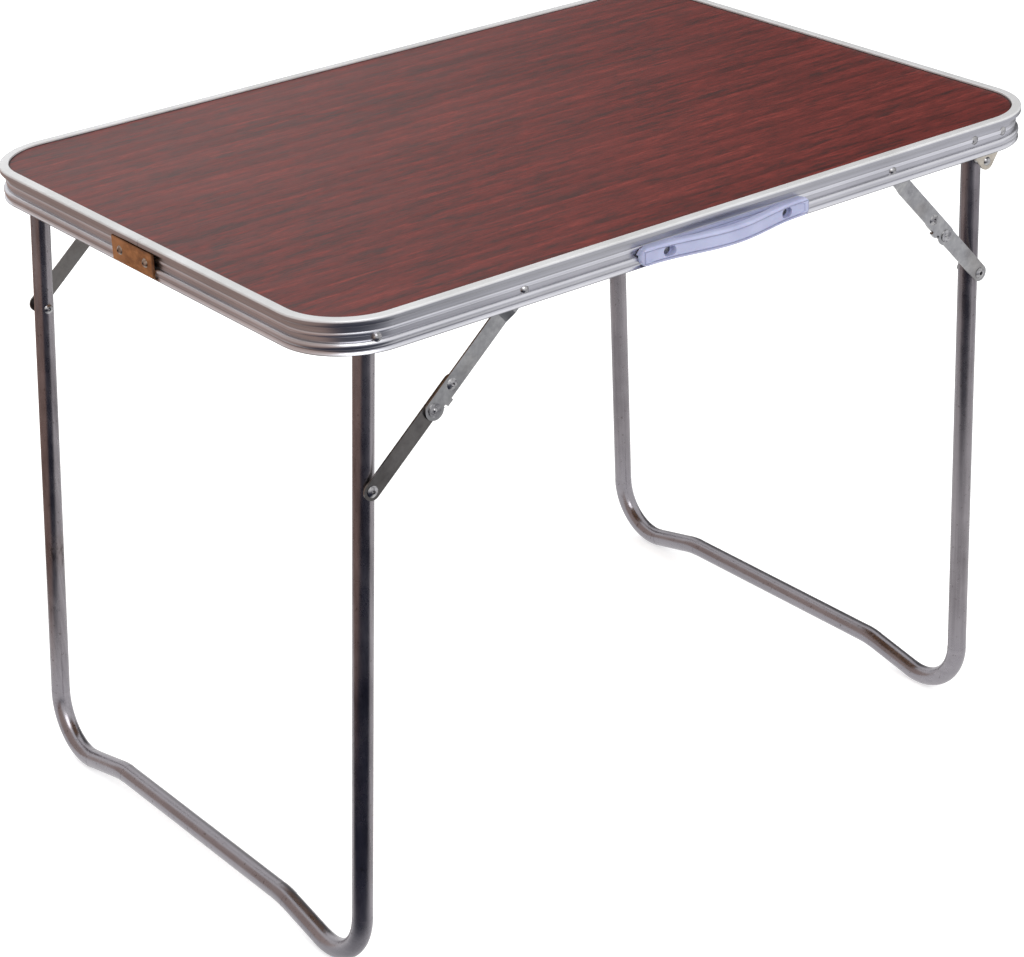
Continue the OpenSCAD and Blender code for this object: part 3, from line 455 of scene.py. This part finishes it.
def plate_metal():
    """Copper-brown coated plate: clouded, with painted light towards its back and painted shade at its
    front and top edges.
    """
    n = Net("plate_metal")
    cloud = n.noise((90.0, 90.0, 150.0), detail=5.0, rough=0.65)
    rub = n.noise((60.0, 60.0, 900.0), detail=3.0, offset=(4, 1, 2))
    brown = n.ramp(cloud, (0.33, srgb(118, 74, 38)), (0.5, srgb(150, 97, 52)),
                   (0.66, srgb(178, 120, 72)))
    # Painted light at the back end, painted shade at the front end and along the top edge
    painted_light_end = n.span(n.axis("Y"), PLATE_HIGH.y - 24 * MM, PLATE_HIGH.y - 12 * MM,
                       0.0, 0.45, smooth=True)
    brown = n.mix(painted_light_end, brown, srgb(192, 134, 88))
    painted_shade_end = n.span(n.axis("Y"), PLATE_LOW.y, PLATE_LOW.y + 3 * MM, 0.55, 0.0, smooth=True)
    brown = n.mix(painted_shade_end, brown, srgb(58, 34, 24))
    painted_shade_top = n.span(n.axis("Z"), PLATE_HIGH.z - 1.6 * MM, PLATE_HIGH.z, 0.0, 0.6)
    brown = n.mix(painted_shade_top, brown, srgb(84, 50, 30))
    brown = n.mix(n.span(rub, 0.62, 0.74, 0.0, 0.3), brown, srgb(206, 160, 118))
    return n.set(color=brown, metal=0.45, rough=n.span(cloud, 0.3, 0.7, 0.36, 0.5),
                 normal=n.bump(cloud, 0.05 * MM, 0.35))


def handle_plastic():
    """Pale lavender moulded plastic with a soft gloss, a fine skin and a sunk line inside its edge,
    darkened with painted shade.
    """
    n = Net("handle_plastic")
    cloud = n.noise((35.0, 35.0, 60.0), detail=3.0)
    skin = n.noise((1600.0, 1600.0, 1600.0), detail=2.0)
    tint = n.ramp(cloud, (0.35, srgb(172, 176, 208)), (0.65, srgb(186, 190, 220)))
    from_edge = n.math("MINIMUM", n.math("SUBTRACT", HANDLE_HIGH.z, n.axis("Z")),
                       n.math("SUBTRACT", n.axis("Z"), HANDLE_LOW.z))
    from_end = n.math("MINIMUM", n.math("SUBTRACT", HANDLE_HIGH.x, n.axis("X")),
                      n.math("SUBTRACT", n.axis("X"), HANDLE_LOW.x))
    inside = n.math("MINIMUM", from_edge, from_end)
    away = n.math("ABSOLUTE", n.math("SUBTRACT", inside, HANDLE_LINE))
    line = n.span(away, 0.15 * MM, 0.55 * MM, 1.0, 0.0, smooth=True)
    # The sunk line is darkened with painted shade
    tint = n.mix(n.math("MULTIPLY", line, 0.55), tint, srgb(120, 124, 160))
    relief = n.math("SUBTRACT", n.math("MULTIPLY", skin, 0.05), line)
    return n.set(color=tint, rough=n.span(skin, 0.3, 0.7, 0.30, 0.38), spec=0.5, sss=0.08,
                 sss_scale=2 * MM, normal=n.bump(relief, 0.5 * MM, 0.8))


def dress(nodes, material):
    """Gives these CAD nodes one material."""
    for name in nodes:
        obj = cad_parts[name]
        obj.data.materials.clear()
        obj.data.materials.append(material)


def smooth_edges(obj, angle=35.0):
    """Curved faces shade smoothly, and edges sharper than the angle stay sharp."""
    obj.data.shade_smooth()
    obj.data.set_sharp_from_angle(angle=math.radians(angle))


def arc(centre, radii, start, end, steps):
    """Points of a part-ellipse: 0 degrees is straight above its centre, 90 is outward."""
    turns = [math.radians(start + (end - start) * k / steps) for k in range(steps + 1)]
    return [(centre[0] - radii[0] * math.sin(t), centre[1] - radii[1] * math.cos(t))
            for t in turns]


def curve(start, bend, end, steps):
    """Points of a quadratic curve from start to end, drawn towards bend."""
    points = []
    for k in range(steps + 1):
        t = k / steps
        points.append(tuple(start[i] * (1 - t) ** 2 + bend[i] * 2 * t * (1 - t) + end[i] * t * t
                            for i in range(2)))
    return points


def rim_section():
    """The rim's section as (inset from the outer face, depth below the top), in mm.

    A rounded lip stands proud of the wall, a fine rib runs along it, and a bead below ends in
    a cove that flares out to the bottom edge. Inside are the flange and the board's groove.
    """
    lip = LIP_WIDTH / MM
    wall, inner, flange = 4.4, 5.6, 13.0
    rib, bead, bottom = 12.4, 20.3, 27.0
    bead_out = 2.8
    return [
        *arc((lip - 0.4, 0.4), (0.4, 0.4), -90, 0, 3),
        *arc((1.3, 1.3), (1.3, 1.3), 0, 90, 6),
        *arc((0.7, 4.5), (0.7, 0.7), 90, 180, 4),
        (4.2, 5.5), (wall, 5.8),
        *arc((wall, rib), (0.6, 1.7), 0, 180, 8),
        *arc((wall, bead), (bead_out, bead_out), 0, 90, 9),
        *arc((wall, bead), (bead_out, 3.7), 100, 150, 5),
        *curve((3.0, 23.6), (3.3, 25.3), (1.75, 26.3), 7),
        *arc((2.1, 26.6), (0.5, 0.4), 75, 180, 4),
        (inner, bottom), (inner, 6.4), (flange, 6.4), (flange, 5.2), (inner, 5.2),
        (inner, 1.5), (lip, 1.5),
    ]


def rim_stations():
    """Where the section stands: (point on the corners' centre line, outward direction)."""
    half_x = (RIM_HIGH.x - RIM_LOW.x) / 2 - RIM_CORNER
    half_y = (RIM_HIGH.y - RIM_LOW.y) / 2 - RIM_CORNER
    left = MIDDLE.x - half_x
    stations = [((left, SEAM_Y + SEAM_GAP / 2), math.pi)]
    for start, side_x, side_y in ((180, -1, 1), (90, 1, 1), (0, 1, -1), (-90, -1, -1)):
        centre = (MIDDLE.x + side_x * half_x, MIDDLE.y + side_y * half_y)
        for k in range(CORNER_STEPS + 1):
            stations.append((centre, math.radians(start - 90 * k / CORNER_STEPS)))
    stations.append(((left, SEAM_Y - SEAM_GAP / 2), math.pi))
    return stations


def make_rim():
    """The extrusion bent round the table, open at its seam behind the joint plate."""
    section = rim_section()
    stations = rim_stations()
    points = []
    for (x, y), turn in stations:
        for inset, depth in section:
            reach = RIM_CORNER - inset * MM
            points.append((x + reach * math.cos(turn), y + reach * math.sin(turn),
                           RIM_TOP - depth * MM))
    size = len(section)
    faces = []
    for s in range(len(stations) - 1):
        for k in range(size):
            low, high = s * size + k, s * size + (k + 1) % size
            faces.append((low, high, high + size, low + size))
    faces.append(tuple(range(size)))
    faces.append(tuple(len(points) - size + k for k in reversed(range(size))))
    mesh = bpy.data.meshes.new("rim")
    mesh.from_pydata(points, [], faces)
    work = bmesh.new()
    work.from_mesh(mesh)
    bmesh.ops.recalc_face_normals(work, faces=work.faces)
    bmesh.ops.triangulate(work, faces=[f for f in work.faces if len(f.verts) > 4])
    work.to_mesh(mesh)
    work.free()
    rim = bpy.data.objects.new("rim", mesh)
    bpy.context.scene.collection.objects.link(rim)
    mesh.materials.append(rim_metal())
    smooth_edges(rim, RIM_SHARP_ANGLE)
    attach(rim, "tabletop")
    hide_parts("rim_frame")


make_rim()

# Which nodes share a finish. Every node that no other group names is a fastener
ALL_NODES = list(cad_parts)
# The left frame's lower links are the same strip, darkened with painted shade
SHADED_STRIPS = ["left_front_lower_link", "left_back_lower_link"]
STRIPS = [n for n in ALL_NODES if n.endswith("_link") and n not in SHADED_STRIPS]
BRACKETS = ["front_ear_bracket", "back_ear_bracket"]
OTHERS = {"table_board", "rim_frame", "joint_plate", "joint_plate_rivets", "handle",
          "handle_screws", "left_leg_frame", "right_leg_frame",
          *STRIPS, *SHADED_STRIPS, *BRACKETS}
FASTENERS = [n for n in ALL_NODES if n not in OTHERS]

dress(["table_board"], board_print())
dress(["joint_plate"], plate_metal())
dress(["handle"], handle_plastic())
dress(["handle_screws"], screw_metal())
dress(["joint_plate_rivets"], plate_rivet_metal())
dress(["left_leg_frame"], left_tube())
dress(["right_leg_frame"], right_tube())
dress(STRIPS, strip_metal("strip_metal", 0.0))
dress(SHADED_STRIPS, strip_metal("painted_shade_strip_metal", 0.7))
dress(BRACKETS, bracket_metal())
dress(FASTENERS, fastener_metal())

# The board shows its print above and its bare back below
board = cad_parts["table_board"]
board.data.materials.append(board_back())
for face in board.data.polygons:
    face.material_index = 1 if face.normal.z < -0.5 else 0

for name in ALL_NODES:
    smooth_edges(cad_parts[name])


def sheet(name, centre, size, tilt=(0, 0, 0)):
    """A flat sheet of the studio: it lies level, unless it is tilted."""
    half_x, half_y = size[0] / 2, size[1] / 2
    mesh = bpy.data.meshes.new(name)
    corners = [(-half_x, -half_y, 0), (half_x, -half_y, 0), (half_x, half_y, 0),
               (-half_x, half_y, 0)]
    mesh.from_pydata(corners, [], [(0, 1, 2, 3)])
    obj = bpy.data.objects.new(name, mesh)
    bpy.context.scene.collection.objects.link(obj)
    obj.location = centre
    obj.rotation_euler = tuple(math.radians(a) for a in tilt)
    return obj


# What the metal sees of the floor: white near the table, a dark blue room towards the
# camera, light at the right, grey at the back, and at the left tan, then grey. ROOM_FRONT
# and ROOM_RIGHT point along the floor, to the side where the camera stands and to its right
NEAR_WHITE = grey(1.0)
ROOM_BLUE = (0.045, 0.050, 0.080, 1.0)
RIGHT_LIGHT = (0.86, 0.86, 0.90, 1.0)
LEFT_TAN = (0.46, 0.32, 0.27, 1.0)
FAR_LEFT_GREY = (0.56, 0.50, 0.48, 1.0)
REAR_GREY = grey(0.42)
ROOM_FRONT = Vector((-0.597, -0.802))
ROOM_RIGHT = Vector((0.802, -0.597))


def floor_seen_by_metal(n):
    """The floor's colour for gloss, by its distance from the table's middle."""
    def along(direction):
        return n.blend((n.axis("X"), direction.x), (n.axis("Y"), direction.y))

    near, side = along(ROOM_FRONT), along(ROOM_RIGHT)
    slanted = n.blend((near, 1.0), (side, -0.25))
    seen = n.mix(n.span(slanted, 0.34, 0.52, smooth=True), NEAR_WHITE, ROOM_BLUE)
    seen = n.mix(n.span(side, 0.75, 1.65, smooth=True), seen, RIGHT_LIGHT)
    seen = n.mix(n.span(near, -1.10, -0.80, 1.0, 0.0, smooth=True), seen, REAR_GREY)
    seen = n.mix(n.span(side, -0.85, -0.55, 1.0, 0.0, smooth=True), seen, LEFT_TAN)
    return n.mix(n.span(side, -2.30, -1.80, 1.0, 0.0, smooth=True), seen, FAR_LEFT_GREY)


def floor_material():
    """Pale floor: it catches the shadow, shows near white, and metal sees the room in it."""
    n = Net("floor")
    n.set(color=grey(0.90), rough=0.9, spec=0.0)
    path = n.add("ShaderNodeLightPath")
    lift = n.add("ShaderNodeEmission")
    n.link(n.math("MULTIPLY", path.outputs["Is Camera Ray"], 0.50), lift.inputs["Strength"])
    both = n.add("ShaderNodeAddShader")
    n.link(n.bsdf.outputs[0], both.inputs[0])
    n.link(lift.outputs[0], both.inputs[1])
    room = n.add("ShaderNodeEmission")
    n.link(floor_seen_by_metal(n), room.inputs["Color"])
    choice = n.add("ShaderNodeMixShader")
    n.link(path.outputs["Is Glossy Ray"], choice.inputs[0])
    n.link(both.outputs[0], choice.inputs[1])
    n.link(room.outputs[0], choice.inputs[2])
    n.link(choice.outputs[0], n.out.inputs[0])
    return n.mat


floor = sheet("floor", (0, 0, 0), FLOOR_SIZE)
floor.data.materials.append(floor_material())


def gloss_card(name, centre, size, tilt):
    """A glowing card that only gloss sees. Returns its net and the input for its colour."""
    card = sheet(name, centre, size, tilt)
    n = Net(name)
    glow = n.add("ShaderNodeEmission")
    n.link(glow.outputs[0], n.out.inputs[0])
    card.data.materials.append(n.mat)
    card.visible_camera = False
    card.visible_diffuse = False
    card.visible_shadow = False
    card.visible_transmission = False
    card.visible_volume_scatter = False
    return n, glow.inputs["Color"]


def back_card():
    """Behind the table, white at the left and dark at the right."""
    turn = math.radians(CAMERA_HEADING)
    place = Vector((math.sin(turn), math.cos(turn), 0)) * BACK_CARD_AWAY
    place.z = BACK_CARD_HEIGHT
    n, color = gloss_card("back_card", place, BACK_CARD_SIZE, (90, 0, -CAMERA_HEADING))
    across = n.span(n.axis("X"), -0.9, 0.9, smooth=True)
    n.put(color, n.ramp(across, (0.0, grey(1.0)), (1.0, grey(0.15))))


def left_card():
    """Beside the table's left end, a warm wall that the left side of the rim mirrors."""
    n, color = gloss_card("left_card", LEFT_CARD_AT, LEFT_CARD_SIZE, (90, 0, 90))
    n.put(color, LEFT_CARD_TONE)


back_card()
left_card()


def lamp(name, place, aim, size, watts, glossy):
    """A white area lamp. Metal mirrors it only if glossy is true."""
    data = bpy.data.lights.new(name, "AREA")
    data.shape = "RECTANGLE"
    data.size, data.size_y = size
    data.energy = watts
    obj = bpy.data.objects.new(name, data)
    bpy.context.scene.collection.objects.link(obj)
    obj.location = place
    obj.rotation_euler = (Vector(aim) - Vector(place)).to_track_quat("-Z", "Y").to_euler()
    obj.visible_glossy = glossy


lamp("key_lamp", (-1.2, -2.6, 3.2), (0, 0, 0.4), (2.4, 2.4), watts=62, glossy=True)
lamp("side_lamp", (3.0, -1.0, 2.4), (0, 0, 0.3), (2.0, 2.0), watts=34, glossy=False)
lamp("back_lamp", (0.6, 3.2, 2.2), (0, 0, 0.4), (2.6, 1.6), watts=30, glossy=False)


def white_world(diffuse):
    """White for the camera, gloss and glass, and a lower level for plain light."""
    world = bpy.data.worlds.new("studio")
    bpy.context.scene.world = world
    world.use_nodes = True
    tree = world.node_tree
    tree.nodes.clear()
    path = tree.nodes.new("ShaderNodeLightPath")
    seen = path.outputs["Is Camera Ray"]
    for ray in ("Is Glossy Ray", "Is Transmission Ray"):
        either = tree.nodes.new("ShaderNodeMath")
        either.operation = "MAXIMUM"
        tree.links.new(seen, either.inputs[0])
        tree.links.new(path.outputs[ray], either.inputs[1])
        seen = either.outputs[0]
    strength = tree.nodes.new("ShaderNodeMapRange")
    tree.links.new(seen, strength.inputs["Value"])
    strength.inputs["To Min"].default_value = diffuse
    strength.inputs["To Max"].default_value = 1.0
    glow = tree.nodes.new("ShaderNodeBackground")
    glow.inputs["Color"].default_value = (1, 1, 1, 1)
    tree.links.new(strength.outputs[0], glow.inputs["Strength"])
    out = tree.nodes.new("ShaderNodeOutputWorld")
    tree.links.new(glow.outputs[0], out.inputs[0])


white_world(WORLD_DIFFUSE)


def place_camera():
    """The camera, turned by its heading from +Y towards +X, then down, then rolled."""
    heading, down, roll = (math.radians(a) for a in (CAMERA_HEADING, CAMERA_DOWN, CAMERA_ROLL))
    ahead = Vector((math.sin(heading) * math.cos(down), math.cos(heading) * math.cos(down),
                    -math.sin(down)))
    level = Vector((math.cos(heading), -math.sin(heading), 0))
    above = level.cross(ahead)
    right = math.cos(roll) * level + math.sin(roll) * above
    up = math.cos(roll) * above - math.sin(roll) * level
    data = bpy.data.cameras.new("camera")
    data.sensor_width = SENSOR_MM
    data.lens = FOCAL_PX / IMAGE_W * SENSOR_MM
    data.clip_start = 0.05
    camera = bpy.data.objects.new("camera", data)
    bpy.context.scene.collection.objects.link(camera)
    axes = Matrix((right, up, -ahead)).transposed().to_4x4()
    camera.matrix_world = Matrix.Translation(CAMERA_AT) @ axes
    bpy.context.scene.camera = camera


place_camera()
bpy.context.scene.view_settings.view_transform = "Standard"
